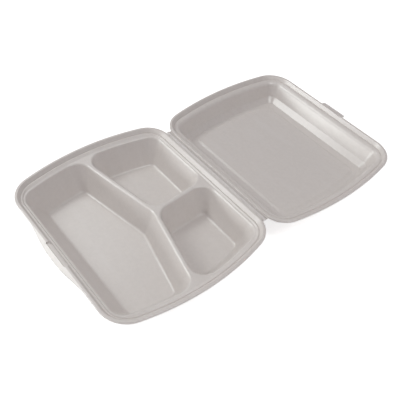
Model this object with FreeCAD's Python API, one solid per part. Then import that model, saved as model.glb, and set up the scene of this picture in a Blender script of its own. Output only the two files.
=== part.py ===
import FreeCAD, Part
import math
import os

# Foam clamshell food container, open flat: a tray with three compartments and a shallow lid,
# pressed from one foamed sheet and joined by a hinge with two creases and a bead between them.
# Plan frame while drawing: x along the hinge, hinge line at y = 0, the half that is drawn lies at y < 0.
# The finished part has its origin under the middle of the large compartment, on the table.

Vec = FreeCAD.Vector

# Sheet and heights
sheet = 2.5                 # thickness of the foamed sheet
base_height = 39.0          # table to the rim plane of the base
lid_height = 30.5           # rim plane of the lid to its outside face
lid_drop = 3.0              # the open lid's rim plane lies this much under the base's
close_gap = 0.3             # left between the two rim planes when the lid is shut

# Plan of the rims
front_reach = 203.0         # hinge line to the front edge of either half
back_reach = 4.3            # hinge line to the edge of either rim beside it
corner_half = 102.8         # half the width where the bowed sides would meet the straight edges
base_half_width = 120.0     # half the width of the base at the middle of its bowed sides
lid_half_width = 116.0      # the same for the lid
back_corner = 30.0          # corner radius of a rim beside the hinge
front_corner = 33.0         # corner radius of a rim at the front

# Section of a rim, from its outer edge inwards
lip_edge = 2.6              # height of the trimmed outer edge
lip_round = 0.8             # rounding of the lip's outer top edge
lip_top = 2.8               # outer edge to the inner side of the lip's flat top
lip_slope = 3.0             # width of the slope down to the ledge
lip_height = 3.9            # rim plane to the ledge
under_slope = 1.4           # outer edge to the start of the slope on the underside
channel_width = 1.4         # channel at the foot of the slope
channel_depth = 0.5

# Compartments of the base
shelf_start = 7.6           # outer edge to where the ledge begins to fall inwards
shelf_fall = 1.5            # fall of the ledge to the mouths of the compartments
shelf_flat = 1.9            # level border round each mouth
ledge_front = 10.8          # outer edge to the compartment, at the front
ledge_back = 10.8           # the same beside the hinge
ledge_side = 13.0           # the same at the bowed sides
ridge_width = 4.6           # width of a divider at its top
joint_x = 6.5               # where the three dividers meet
joint_y = -87.3
side_end_y = -109.0         # where the two long dividers reach the sides
back_end_x = 2.0            # where the short divider reaches the hinge side
front_run = 20.0            # how far each wall leans inwards on its way down
side_run = 17.5
back_run = 13.3
ridge_run = 11.0
middle_run = 14.0
mouth_corner = 17.0         # corner radius of a compartment at its mouth
floor_corner = 6.0          # corner radius at its floor
cove = 4.0                  # rounding between wall and floor
mouth_round = 2.4           # rounding at the top of the walls

# Inside of the lid
lid_ledge = 13.0            # outer edge to the inner side of the ledge
lid_fall = 1.1              # fall of the ledge to the steep wall
lid_round = 7.0             # rounding at the top of the steep wall
lid_knee = 20.3             # outer edge to the foot of the steep wall
lid_knee_height = 6.0       # floor to the foot of the steep wall
lid_foot = 26.8             # outer edge to the flat floor
panel_front = 9.5           # flat floor in front of the raised panel
panel_back = 9.0            # flat floor between the panel and the hinge side
panel_side = 4.5            # flat floor beside the panel
panel_rise = 0.8            # height of the panel
panel_ramp = 3.2            # width of the ramp up to the panel
lid_corner = 15.0           # corner radii, from the ledge down to the panel
knee_corner = 10.0
foot_corner = 6.0
panel_corner = 8.0

# Hinge
strip_width = 5.6           # distance between the two creases
crease_gap = 0.15           # each side of a crease
strip_thick = 1.5
bead_rise = 1.1             # top of the bead above the creases
hinge_half = 87.0           # half the length of the hinge
web_reach = 9.0             # hinge line to where the web ends under the rim

# Latch at the front of the base, and the tab of the lid
apron_half = 50.0           # half the width of the bulge where it leaves the front edge
apron_flat = 16.0           # half the width of its foremost part, before rounding
apron_reach = 4.4           # how far it stands out of the front edge
apron_fall = 3.0            # how far its outer edge lies under the rim plane
apron_corner = 200.0        # rounding at the two ends of its foremost part
recess_half = 18.5          # half the width of the recess in the lip
recess_depth = 2.0
catch_half = 17.0           # half the length of the groove that catches the tab
catch_width = 1.4
catch_depth = 1.0
catch_inset = 4.0           # front edge to the groove's middle
tab_half = 17.0
tab_reach = 9.5
tab_fall = 4.2              # how far the tab's tip hangs under its root
tab_thick = 2.2
tab_corner = 4.5

# Worked out from the sizes above
rim_z = base_height
ledge_z = rim_z - lip_height
mouth_z = ledge_z - shelf_fall
floor_z = sheet
lid_rim_z = rim_z - lid_drop
lid_ledge_z = lid_rim_z - lip_height
lid_outer_z = lid_rim_z - lid_height
lid_floor_z = lid_outer_z + sheet
crease_z = (lid_rim_z + rim_z + close_gap - strip_width) / 2
middle_y = -(front_reach + back_reach) / 2
seat_y = -(front_reach - ledge_front - side_end_y) / 2
over = 1.0                  # how far a cutting solid reaches past what it cuts
tiny = 1e-4


def line_side(start, end):
    """A straight side of an outline, run with the inside on its left."""
    along = (end - start).normalize()
    return {"point": start, "inward": Vec(-along.y, along.x, 0)}


def arc_side(half_width, sign):
    """A bowed side: the circle through the two corners and the middle of the side."""
    bow = half_width - corner_half
    half_length = (front_reach - back_reach) / 2
    radius = (half_length ** 2 + bow ** 2) / (2 * bow)
    centre = Vec(sign * (half_width - radius), middle_y, 0)
    return {"centre": centre, "radius": radius, "near": Vec(sign * half_width, middle_y, 0)}


def inset_side(side, distance):
    """The same side, moved inwards."""
    if "centre" in side:
        return dict(side, radius=side["radius"] - distance)
    return dict(side, point=side["point"] + side["inward"] * distance)


def meet(first, second):
    """The point where two neighbouring sides cross."""
    if "centre" in first:
        first, second = second, first
    along = Vec(first["inward"].y, -first["inward"].x, 0)
    if "centre" not in second:
        gap = (second["point"] - first["point"]).dot(second["inward"])
        return first["point"] + along * (gap / along.dot(second["inward"]))
    from_centre = first["point"] - second["centre"]
    half = along.dot(from_centre)
    root = math.sqrt(half ** 2 - from_centre.dot(from_centre) + second["radius"] ** 2)
    ends = [first["point"] + along * (-half + root), first["point"] + along * (-half - root)]
    return min(ends, key=lambda end: end.distanceToPoint(second["near"]))


def touch(side, centre):
    """The point where a circle about centre touches a side."""
    if "centre" in side:
        away = (centre - side["centre"]).normalize()
        return side["centre"] + away * side["radius"]
    return centre + side["inward"] * (side["point"] - centre).dot(side["inward"])


def outline(sides, insets, radii, z):
    """A closed wire at height z: the sides moved inwards by insets, with rounded corners."""
    moved = [inset_side(side, inset) for side, inset in zip(sides, insets)]
    corners = []
    for side, following, radius in zip(moved, moved[1:] + moved[:1], radii):
        centre = meet(inset_side(side, radius), inset_side(following, radius))
        away = (meet(side, following) - centre).normalize()
        corners.append((touch(side, centre), centre + away * radius, touch(following, centre)))
    lift = Vec(0, 0, z)
    edges = []
    for side, before, corner in zip(moved, corners[-1:] + corners[:-1], corners):
        start, end = before[2] + lift, corner[0] + lift
        if "centre" in side:
            centre = side["centre"] + lift
            halfway = ((start + end) / 2 - centre).normalize()
            edges.append(Part.Arc(start, centre + halfway * side["radius"], end).toShape())
        else:
            edges.append(Part.LineSegment(start, end).toShape())
        edges.append(Part.Arc(end, corner[1] + lift, corner[2] + lift).toShape())
    return Part.Wire(edges)


def stack(sides, levels):
    """A solid through outlines at several heights. A level is (insets, radii, z)."""
    return Part.makeLoft([outline(sides, *level) for level in levels], True, True)


def flat_edges(shape, z):
    """The edges of a shape that lie in the plane at height z."""
    found = []
    for edge in shape.Edges:
        box = edge.BoundBox
        if abs(box.ZMin - z) < tiny and abs(box.ZMax - z) < tiny:
            found.append(edge)
    return found


def shelf():
    """The fall of the ledge round the compartments, with the level border at its foot."""
    sides = rim_sides(base_half_width)
    foot = [width - shelf_flat for width in (ledge_front, ledge_side, ledge_back, ledge_side)]
    return stack(sides, [(foot, [mouth_corner + shelf_flat] * 4, mouth_z), rim_level(shelf_start, ledge_z)])


def block(x_half, y_low, y_high, z_low, z_high):
    """A box across the plane of symmetry."""
    return Part.makeBox(2 * x_half, y_high - y_low, z_high - z_low, Vec(-x_half, y_low, z_low))


def extruded(points, x_half):
    """A section drawn in the y-z plane, drawn out along the hinge line."""
    section = Part.Face(Part.makePolygon([Vec(-x_half, y, z) for y, z in points + points[:1]]))
    return section.extrude(Vec(2 * x_half, 0, 0))


def plan_prism(corners, radii, z_low, z_high):
    """An upright prism over a polygon, anticlockwise, whose corners are rounded.

    The radii belong to the second corner onwards; the first corner has the last one.
    """
    points = [Vec(x, y, 0) for x, y in corners]
    sides = [line_side(start, end) for start, end in zip(points, points[1:] + points[:1])]
    return stack(sides, [([0] * len(sides), radii, z) for z in (z_low, z_high)])


def rim_sides(half_width):
    """The four sides of a rim, anticlockwise from the front."""
    front_left, front_right = Vec(-corner_half, -front_reach, 0), Vec(corner_half, -front_reach, 0)
    back_right, back_left = Vec(corner_half, -back_reach, 0), Vec(-corner_half, -back_reach, 0)
    return [line_side(front_left, front_right), arc_side(half_width, 1),
            line_side(back_right, back_left), arc_side(half_width, -1)]


def rim_level(inset, z):
    """One level of a rim, every side moved in alike."""
    radii = [front_corner - inset, back_corner - inset, back_corner - inset, front_corner - inset]
    return [inset] * 4, radii, z


def rim(half_width, top, fall):
    """The rim of one half, whose ledge falls inwards: (what is filled, what is hollow)."""
    sides = rim_sides(half_width)
    ledge = top - lip_height
    slab = stack(sides, [rim_level(0, top - lip_edge), rim_level(0, top)])
    slab = slab.makeFillet(lip_round, flat_edges(slab, top))
    slope_end = under_slope + lip_slope
    under = stack(sides, [rim_level(slope_end + fall, ledge - fall - sheet),
                          rim_level(slope_end, ledge - sheet),
                          rim_level(under_slope, top - lip_edge)])
    foot = lip_top + lip_slope
    lean = lip_slope / lip_height
    hollow = stack(sides, [rim_level(foot, ledge), rim_level(lip_top - over * lean, top + over)])
    channel = stack(sides, [rim_level(foot, ledge - channel_depth), rim_level(foot, ledge + over)])
    inner = stack(sides, [rim_level(foot + channel_width, ledge - channel_depth),
                          rim_level(foot + channel_width, ledge + over)])
    return slab.fuse(under), hollow.fuse(channel.cut(inner))


def hinge_edge(half_width, top):
    """The edge of a rim beside the hinge, brought down to the crease, with its thin web."""
    sides = rim_sides(half_width)
    low = crease_z - strip_thick
    riser = stack(sides, [rim_level(0, low), rim_level(0, top - lip_edge + tiny)])
    riser = riser.common(block(hinge_half, -web_reach, 0, low, top))
    web = block(hinge_half, -web_reach, -strip_width / 2 - crease_gap, low, crease_z)
    return riser.fuse(web)


def pocket(sides, runs, skin):
    """The hollow of a compartment for skin = 0, or the sheet's underside round it for skin = sheet."""
    depth = mouth_z - floor_z

    def level(z):
        share = (mouth_z - z) / depth
        insets = [run * share - skin * math.hypot(run, depth) / depth for run in runs]
        radius = mouth_corner + (floor_corner - mouth_corner) * share + skin
        return insets, [radius] * len(sides), z

    bottom = floor_z - skin
    top = mouth_z - sheet / 2 if skin else mouth_z + over
    solid = stack(sides, [level(bottom), level(top)])
    return solid.makeFillet(cove + skin, flat_edges(solid, bottom))


def compartments():
    """Sides and runs of the three compartments, each anticlockwise."""
    front, right, back, left = rim_sides(base_half_width)
    front, back = inset_side(front, ledge_front), inset_side(back, ledge_back)
    right, left = inset_side(right, ledge_side), inset_side(left, ledge_side)
    joint = Vec(joint_x, joint_y, 0)
    left_end, right_end = Vec(-corner_half, side_end_y, 0), Vec(corner_half, side_end_y, 0)
    back_end = Vec(back_end_x, -back_reach - ledge_back, 0)

    def ridge(start, end):
        return inset_side(line_side(start, end), ridge_width / 2)

    return {
        "large": ([front, right, ridge(right_end, joint), ridge(joint, left_end), left],
                  [front_run, side_run, ridge_run, ridge_run, side_run]),
        "left": ([ridge(left_end, joint), ridge(joint, back_end), back, left],
                 [ridge_run, middle_run, back_run, side_run]),
        "right": ([ridge(joint, right_end), right, back, ridge(back_end, joint)],
                  [ridge_run, side_run, back_run, middle_run]),
    }


def latch():
    """The bulge in front of the lip: (what is filled, the recess and the groove in it)."""
    front = -front_reach
    tip = front - apron_reach
    inner = front + lip_top
    corners = [(-apron_flat, tip), (apron_flat, tip), (apron_half, front), (apron_half, inner),
               (-apron_half, inner), (-apron_half, front)]
    radii = [apron_corner, lip_round, lip_round, lip_round, lip_round, apron_corner]
    prism = plan_prism(corners, radii, rim_z - 2 * lip_edge - apron_fall, rim_z)
    slope = [(inner, rim_z), (front + lip_round, rim_z), (tip, rim_z - apron_fall),
             (tip, rim_z - apron_fall - sheet), (front + lip_round, rim_z - lip_edge),
             (inner, rim_z - lip_edge)]
    apron = prism.common(extruded(slope, apron_half))
    deep = rim_z - recess_depth
    behind = front + lip_top + lip_slope
    recess = extruded([(front - over, rim_z + over), (front + lip_round, deep),
                       (behind, deep), (behind, rim_z + over)], recess_half)
    catch_y = front + catch_inset
    catch = block(catch_half, catch_y - catch_width / 2, catch_y + catch_width / 2,
                  deep - catch_depth, rim_z + over)
    return apron, recess.fuse(catch)


def tab():
    """The thumb tab in front of the lid: a short tongue that curls away from the inside."""
    root, tip = -front_reach + lip_top, -front_reach - tab_reach
    top = lid_rim_z - close_gap
    middle = (root + tip) / 2

    def face_arc(drop):
        return Part.Arc(Vec(-tab_half, root, top - drop), Vec(-tab_half, middle, top - drop - tab_fall / 4),
                        Vec(-tab_half, tip, top - drop - tab_fall)).toShape()

    upper, lower = face_arc(0), face_arc(tab_thick)
    ends = [Part.makeLine(upper.Vertexes[i].Point, lower.Vertexes[i].Point) for i in (0, 1)]
    section = Part.Face(Part.Wire(Part.__sortEdges__([upper, lower] + ends)))
    corners = [(-tab_half, tip), (tab_half, tip), (tab_half, root), (-tab_half, root)]
    radii = [tab_corner, lip_round, lip_round, tab_corner]
    prism = plan_prism(corners, radii, top - 2 * tab_fall, top + over)
    return section.extrude(Vec(2 * tab_half, 0, 0)).common(prism)


def make_base():
    """The tray: rim, three compartments with leaning walls and coved floors, hinge edge and latch."""
    filled, hollow = rim(base_half_width, rim_z, shelf_fall)
    apron, recess = latch()
    solid = filled.fuse([hinge_edge(base_half_width, rim_z), apron])
    hollows = []
    for sides, runs in compartments().values():
        solid = solid.fuse(pocket(sides, runs, sheet))
        hollows.append(pocket(sides, runs, 0))
    solid = solid.cut(hollow.fuse([recess, shelf()]))
    for compartment in hollows:
        solid = solid.cut(compartment)
    solid = solid.removeSplitter()
    border = [width - shelf_flat / 2 for width in (ledge_front, ledge_side, ledge_back, ledge_side)]
    inside = Part.Face(outline(rim_sides(base_half_width), border, [mouth_corner] * 4, mouth_z))
    mouths = []
    for edge in flat_edges(solid, mouth_z):
        middle = edge.valueAt((edge.FirstParameter + edge.LastParameter) / 2)
        if inside.isInside(middle, tiny, True):
            mouths.append(edge)
    return solid.makeFillet(mouth_round, mouths)


def lid_profile(skin):
    """Levels of the lid's hollow for skin = 0, or of its underside for skin = sheet, top first."""
    points = [(shelf_start, lid_ledge_z), (lid_ledge, lid_ledge_z - lid_fall),
              (lid_knee, lid_floor_z + lid_knee_height), (lid_foot, lid_floor_z)]
    corners = [back_corner - shelf_start, lid_corner, knee_corner, foot_corner]
    normals = []
    for (u0, z0), (u1, z1) in zip(points, points[1:]):
        length = math.hypot(u1 - u0, z1 - z0)
        normals.append(((z1 - z0) / length, -(u1 - u0) / length))
    normals = normals[:1] + normals + [(0, -1)]
    levels = []
    for (u, z), radius, before, after in zip(points, corners, normals, normals[1:]):
        mean = (before[0] + after[0], before[1] + after[1])
        scale = 2 * skin / (mean[0] ** 2 + mean[1] ** 2)
        levels.append((u + mean[0] * scale, radius + skin, z + mean[1] * scale))
    return levels


def lid_shape(skin):
    """The lid's hollow, or its underside, with the raised panel taken out of its floor."""
    sides = rim_sides(lid_half_width)
    levels = lid_profile(skin)
    if skin:
        levels = levels[1:]
    solid = stack(sides, [([u] * 4, [radius] * 4, z) for u, radius, z in levels])
    bottom = lid_floor_z - skin
    border = [lid_foot + width for width in (panel_front, panel_side, panel_back, panel_side)]
    reach = panel_ramp / panel_rise * over

    def panel_level(inward, z):
        return [inset + inward for inset in border], [panel_corner - inward] * 4, z

    panel = stack(sides, [panel_level(-reach, bottom - over), panel_level(panel_ramp, bottom + panel_rise)])
    return solid.cut(panel)


def make_lid():
    """The lid, drawn on the base's side of the hinge and then turned to its own."""
    filled, hollow = rim(lid_half_width, lid_rim_z, lid_fall)
    solid = filled.fuse([hinge_edge(lid_half_width, lid_rim_z), tab(), lid_shape(sheet)])
    solid = solid.cut(hollow).cut(lid_shape(0)).removeSplitter()
    solid = solid.makeFillet(lid_round, flat_edges(solid, lid_ledge_z - lid_fall))
    return solid.rotate(Vec(0, 0, 0), Vec(0, 0, 1), 180)


def make_strip():
    """The strip between the two creases, with a rounded bead along it."""
    half = strip_width / 2 - crease_gap
    low, shoulder = crease_z - strip_thick, crease_z - crease_gap
    section = ((-half, shoulder), (-half, low), (half, low), (half, shoulder))
    corners = [Vec(-hinge_half, y, z) for y, z in section]
    edges = [Part.makeLine(start, end) for start, end in zip(corners, corners[1:])]
    edges.append(Part.Arc(corners[3], Vec(-hinge_half, 0, crease_z + bead_rise), corners[0]).toShape())
    return Part.Face(Part.Wire(edges)).extrude(Vec(2 * hinge_half, 0, 0))


os.makedirs("parts", exist_ok=True)
nodes = {"base_tray": make_base(), "hinge_strip": make_strip(), "lid": make_lid()}
for name, shape in nodes.items():
    solid = shape.Solids[0] if len(shape.Solids) == 1 else shape
    solid.translate(Vec(0, -seat_y, 0))
    solid.exportStep("parts/" + name + ".step")
    print(name, "solids", len(shape.Solids), "valid", solid.isValid(), "volume", round(solid.Volume), "mm3")
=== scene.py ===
import math

import bpy
from mathutils import Matrix, Vector

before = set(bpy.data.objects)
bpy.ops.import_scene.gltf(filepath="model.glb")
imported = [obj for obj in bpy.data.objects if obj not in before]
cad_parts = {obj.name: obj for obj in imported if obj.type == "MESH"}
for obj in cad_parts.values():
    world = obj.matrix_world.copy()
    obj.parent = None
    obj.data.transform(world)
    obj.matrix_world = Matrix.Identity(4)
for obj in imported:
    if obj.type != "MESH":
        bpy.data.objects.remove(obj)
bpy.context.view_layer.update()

# Foam clamshell food container, lying open, lit like a plain catalogue picture
mm = 0.001
mixFactor, mixFirst, mixSecond, mixResult = 0, 6, 7, 2      # sockets of a Mix node that mixes colours


def hexLinear(code):
    channels = [int(code[i:i + 2], 16) / 255 for i in (1, 3, 5)]
    linear = [c / 12.92 if c <= 0.04045 else ((c + 0.055) / 1.055) ** 2.4 for c in channels]
    return (*linear, 1.0)


def addNode(tree, kind, settings=None, inputs=None, links=None):
    node = tree.nodes.new(kind)
    for name, value in (settings or {}).items():
        setattr(node, name, value)
    for name, value in (inputs or {}).items():
        node.inputs[name].default_value = value
    for name, source in (links or {}).items():
        tree.links.new(source, node.inputs[name])
    return node


def newMaterial(name):
    material = bpy.data.materials.new(name)
    material.use_nodes = True
    material.node_tree.nodes.clear()
    return material, material.node_tree


def patternScale(size):
    return 1 / (size * mm)          # a texture scale of 1 is one cell in a metre


# Extruded polystyrene foam sheet, thermoformed: warm white, with a closed skin that has a soft satin
# sheen. The cells show through the skin as fine mottling, a little darker where the skin is thin.
foam = {
    "skin": "#E1DBD7",
    "thin": "#DDD7D3",
    "cloud": "#E3DEDB",
    "mottleSize": 4.0,          # mm, as all sizes and depths here
    "mottleDetail": 3.0,
    "mottleGrain": 0.55,
    "mottleRange": (0.35, 0.70),
    "cellSize": 1.3,            # real cells are about 0.3 mm, drawn this coarse so that they show
    "cellDepth": 0.010,
    "cellStrength": 0.5,
    "flowWidth": 9.0,           # faint streaks from the extruder's die, along the hinge
    "flowLength": 70.0,
    "flowDetail": 2.0,
    "flowRange": (0.50, 0.75),
    "flowShare": 0.5,
    "waveSize": 26.0,           # the slight ripple of a sheet that cooled in the air
    "waveDepth": 0.06,
    "waveDetail": 1.0,
    "waveStrength": 0.6,
    "ior": 1.59,                # polystyrene
    "roughness": 0.34,          # the closed skin has a satin shine
    "gloss": 1.0,
    "scatter": 0.10,            # light goes some way into the foam
    "scatterReach": 1.4,
    "scatterTint": (1.0, 0.95, 0.9),
}


def foamMaterial(name, spec):
    material, tree = newMaterial(name)
    place = addNode(tree, "ShaderNodeTexCoord").outputs["Object"]
    mottle = addNode(tree, "ShaderNodeTexNoise",
                     inputs={"Scale": patternScale(spec["mottleSize"]), "Detail": spec["mottleDetail"],
                             "Roughness": spec["mottleGrain"]},
                     links={"Vector": place})
    across, along = patternScale(spec["flowWidth"]), patternScale(spec["flowLength"])
    stretch = addNode(tree, "ShaderNodeMapping", inputs={"Scale": (along, across, along)},
                      links={"Vector": place})
    flow = addNode(tree, "ShaderNodeTexNoise", inputs={"Scale": 1.0, "Detail": spec["flowDetail"]},
                   links={"Vector": stretch.outputs["Vector"]})
    cells = addNode(tree, "ShaderNodeTexVoronoi", inputs={"Scale": patternScale(spec["cellSize"])},
                    links={"Vector": place})
    wave = addNode(tree, "ShaderNodeTexNoise",
                   inputs={"Scale": patternScale(spec["waveSize"]), "Detail": spec["waveDetail"]},
                   links={"Vector": place})
    mottleRange = addNode(tree, "ShaderNodeMapRange",
                          inputs={"From Min": spec["mottleRange"][0],
                                  "From Max": spec["mottleRange"][1]},
                          links={"Value": mottle.outputs["Fac"]})
    base = addNode(tree, "ShaderNodeMix", settings={"data_type": "RGBA"},
                   inputs={mixFirst: hexLinear(spec["thin"]), mixSecond: hexLinear(spec["skin"])},
                   links={mixFactor: mottleRange.outputs["Result"]})
    flowRange = addNode(tree, "ShaderNodeMapRange",
                        inputs={"From Min": spec["flowRange"][0], "From Max": spec["flowRange"][1],
                                "To Max": spec["flowShare"]},
                        links={"Value": flow.outputs["Fac"]})
    streaked = addNode(tree, "ShaderNodeMix", settings={"data_type": "RGBA"},
                       inputs={mixSecond: hexLinear(spec["cloud"])},
                       links={mixFactor: flowRange.outputs["Result"], mixFirst: base.outputs[mixResult]})
    waveBump = addNode(tree, "ShaderNodeBump",
                       inputs={"Strength": spec["waveStrength"], "Distance": spec["waveDepth"] * mm},
                       links={"Height": wave.outputs["Fac"]})
    cellBump = addNode(tree, "ShaderNodeBump",
                       inputs={"Strength": spec["cellStrength"], "Distance": spec["cellDepth"] * mm},
                       links={"Height": cells.outputs["Distance"], "Normal": waveBump.outputs["Normal"]})
    shader = addNode(tree, "ShaderNodeBsdfPrincipled",
                     inputs={"IOR": spec["ior"], "Specular IOR Level": spec["gloss"], "Metallic": 0.0,
                             "Roughness": spec["roughness"], "Subsurface Weight": spec["scatter"],
                             "Subsurface Scale": spec["scatterReach"] * mm,
                             "Subsurface Radius": spec["scatterTint"]},
                     links={"Base Color": streaked.outputs[mixResult],
                            "Normal": cellBump.outputs["Normal"]})
    addNode(tree, "ShaderNodeOutputMaterial", links={"Surface": shader.outputs["BSDF"]})
    return material


pressedFoam = foamMaterial("extrudedPolystyreneFoamPressed", foam)

# The hinge is the same sheet, crushed between hot bars: denser, a little duller and a little paler
crushedFoam = foamMaterial("extrudedPolystyreneFoamCrushed", dict(
    foam, skin="#E5E0DD", thin="#E0DAD7", roughness=0.37, cellDepth=0.012, waveDepth=0.08, scatter=0.15))

for nodeName in ("base_tray", "hinge_strip", "lid"):
    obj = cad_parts[nodeName]
    obj.data.materials.clear()
    obj.data.materials.append(crushedFoam if nodeName == "hinge_strip" else pressedFoam)
print("foam materials on tray, hinge and lid")


# Floor: pale board that keeps the shadow, white to the camera and in reflections
floorSpec = {
    "size": 6.0,                # metres
    "board": "#F4F4F4",
    "glow": 0.66,
    "drop": 0.2,                # mm under the tray
}


def buildFloor(spec):
    half = spec["size"] / 2
    corners = [(-half, -half, 0), (half, -half, 0), (half, half, 0), (-half, half, 0)]
    mesh = bpy.data.meshes.new("studioFloor")
    mesh.from_pydata(corners, [], [(0, 1, 2, 3)])
    board = bpy.data.objects.new("studioFloor", mesh)
    board.location.z = -spec["drop"] * mm
    bpy.context.scene.collection.objects.link(board)
    material, tree = newMaterial("paintedStudioBoard")
    rays = addNode(tree, "ShaderNodeLightPath").outputs
    seen = addNode(tree, "ShaderNodeMath", settings={"operation": "MAXIMUM"},
                   links={0: rays["Is Camera Ray"], 1: rays["Is Glossy Ray"]})
    seenAny = addNode(tree, "ShaderNodeMath", settings={"operation": "MAXIMUM"},
                      links={0: seen.outputs[0], 1: rays["Is Transmission Ray"]})
    strength = addNode(tree, "ShaderNodeMath", settings={"operation": "MULTIPLY"},
                       inputs={1: spec["glow"]}, links={0: seenAny.outputs[0]})
    paint = addNode(tree, "ShaderNodeBsdfDiffuse", inputs={"Color": hexLinear(spec["board"])})
    glow = addNode(tree, "ShaderNodeEmission", links={"Strength": strength.outputs[0]})
    both = addNode(tree, "ShaderNodeAddShader", links={0: paint.outputs[0], 1: glow.outputs[0]})
    addNode(tree, "ShaderNodeOutputMaterial", links={"Surface": both.outputs[0]})
    mesh.materials.append(material)


buildFloor(floorSpec)
print("floor")


# Light: an even pale room and two softboxes at the left of the picture, a high narrow one and a low wide
# one, so that rounded edges and both slopes of the lid's front wall shine. The gap between them keeps
# the hinge and the latch from glaring. A square panel overhead fills the compartments, and a weak one
# over the left side lifts the walls that face it. Places and sizes are in metres, power in watts.
lampSpecs = {
    "windowStrip": {"place": (-0.80, -0.66, 0.99), "aim": (0.0, 0.08, 0.0), "along": (0.0, 0.55, 0.83),
                    "size": (0.22, 0.50), "power": 5.4},
    "lowPanel": {"place": (-0.80, -1.20, 0.20), "aim": (0.0, 0.20, 0.0), "along": (0.0, 0.30, 0.95),
                 "size": (0.40, 0.22), "power": 6.0},
    "fillPanel": {"place": (0.60, 0.20, 1.15), "aim": (0.0, 0.08, 0.0), "along": (0.0, 1.0, 0.0),
                  "size": (0.40, 0.40), "power": 3.0},
    "sheenPanel": {"place": (-0.76, 0.30, 1.00), "aim": (0.0, 0.03, 0.0), "along": (0.0, 1.0, 0.0),
                   "size": (0.34, 0.34), "power": 0.9},
}
lampTint = "#FAFFFD"
roomSpec = {
    "tint": "#FFF8FB",
    "strength": 0.35,
    "backdrop": "#FFFFFF",      # what the camera sees behind the floor
}


def buildLamp(name, spec):
    panel = bpy.data.lights.new(name, "AREA")
    panel.shape = "RECTANGLE"
    panel.size, panel.size_y = spec["size"]
    panel.energy = spec["power"]
    panel.color = hexLinear(lampTint)[:3]
    lamp = bpy.data.objects.new(name, panel)
    back = (Vector(spec["place"]) - Vector(spec["aim"])).normalized()
    across = Vector(spec["along"]).cross(back).normalized()
    turn = Matrix((across, back.cross(across), back)).transposed().to_4x4()
    lamp.matrix_world = Matrix.Translation(spec["place"]) @ turn
    bpy.context.scene.collection.objects.link(lamp)


def buildRoom(spec):
    world = bpy.data.worlds.new("paleRoom")
    world.use_nodes = True
    tree = world.node_tree
    tree.nodes.clear()
    rays = addNode(tree, "ShaderNodeLightPath").outputs
    dim = addNode(tree, "ShaderNodeBackground",
                  inputs={"Color": hexLinear(spec["tint"]), "Strength": spec["strength"]})
    white = addNode(tree, "ShaderNodeBackground",
                    inputs={"Color": hexLinear(spec["backdrop"]), "Strength": 1.0})
    pick = addNode(tree, "ShaderNodeMixShader",
                   links={0: rays["Is Camera Ray"], 1: dim.outputs[0], 2: white.outputs[0]})
    addNode(tree, "ShaderNodeOutputWorld", links={"Surface": pick.outputs[0]})
    bpy.context.scene.world = world


for lampName, lampSpec in lampSpecs.items():
    buildLamp(lampName, lampSpec)
buildRoom(roomSpec)
print("lights")


# Camera: fitted to the outlines of both rims, turned a little about its own axis
cameraSpec = {
    "place": (331.1, -171.3, 485.5),        # mm
    "yaw": 47.87,                           # degrees
    "pitch": 47.35,
    "roll": 4.77,
    "lens": 50.4,                           # mm, on a sensor of 36 mm
    "sensor": 36,
    "shift": (0.0095, 0.0038),
    "nearest": 10,                          # mm
}


def buildCamera(spec):
    yaw, pitch, roll = (math.radians(spec[key]) for key in ("yaw", "pitch", "roll"))
    back = Vector((math.sin(yaw) * math.cos(pitch), -math.cos(yaw) * math.cos(pitch), math.sin(pitch)))
    level = Vector((math.cos(yaw), math.sin(yaw), 0))
    upright = back.cross(level)
    right = level * math.cos(roll) + upright * math.sin(roll)
    up = upright * math.cos(roll) - level * math.sin(roll)
    data = bpy.data.cameras.new("catalogueCamera")
    data.sensor_width = spec["sensor"]
    data.lens = spec["lens"]
    data.shift_x, data.shift_y = spec["shift"]
    data.clip_start = spec["nearest"] * mm
    camera = bpy.data.objects.new("catalogueCamera", data)
    turn = Matrix((right, up, back)).transposed().to_4x4()
    camera.matrix_world = Matrix.Translation(Vector(spec["place"]) * mm) @ turn
    bpy.context.scene.collection.objects.link(camera)
    bpy.context.scene.camera = camera


buildCamera(cameraSpec)
bpy.context.scene.view_settings.view_transform = "Standard"
print("camera")
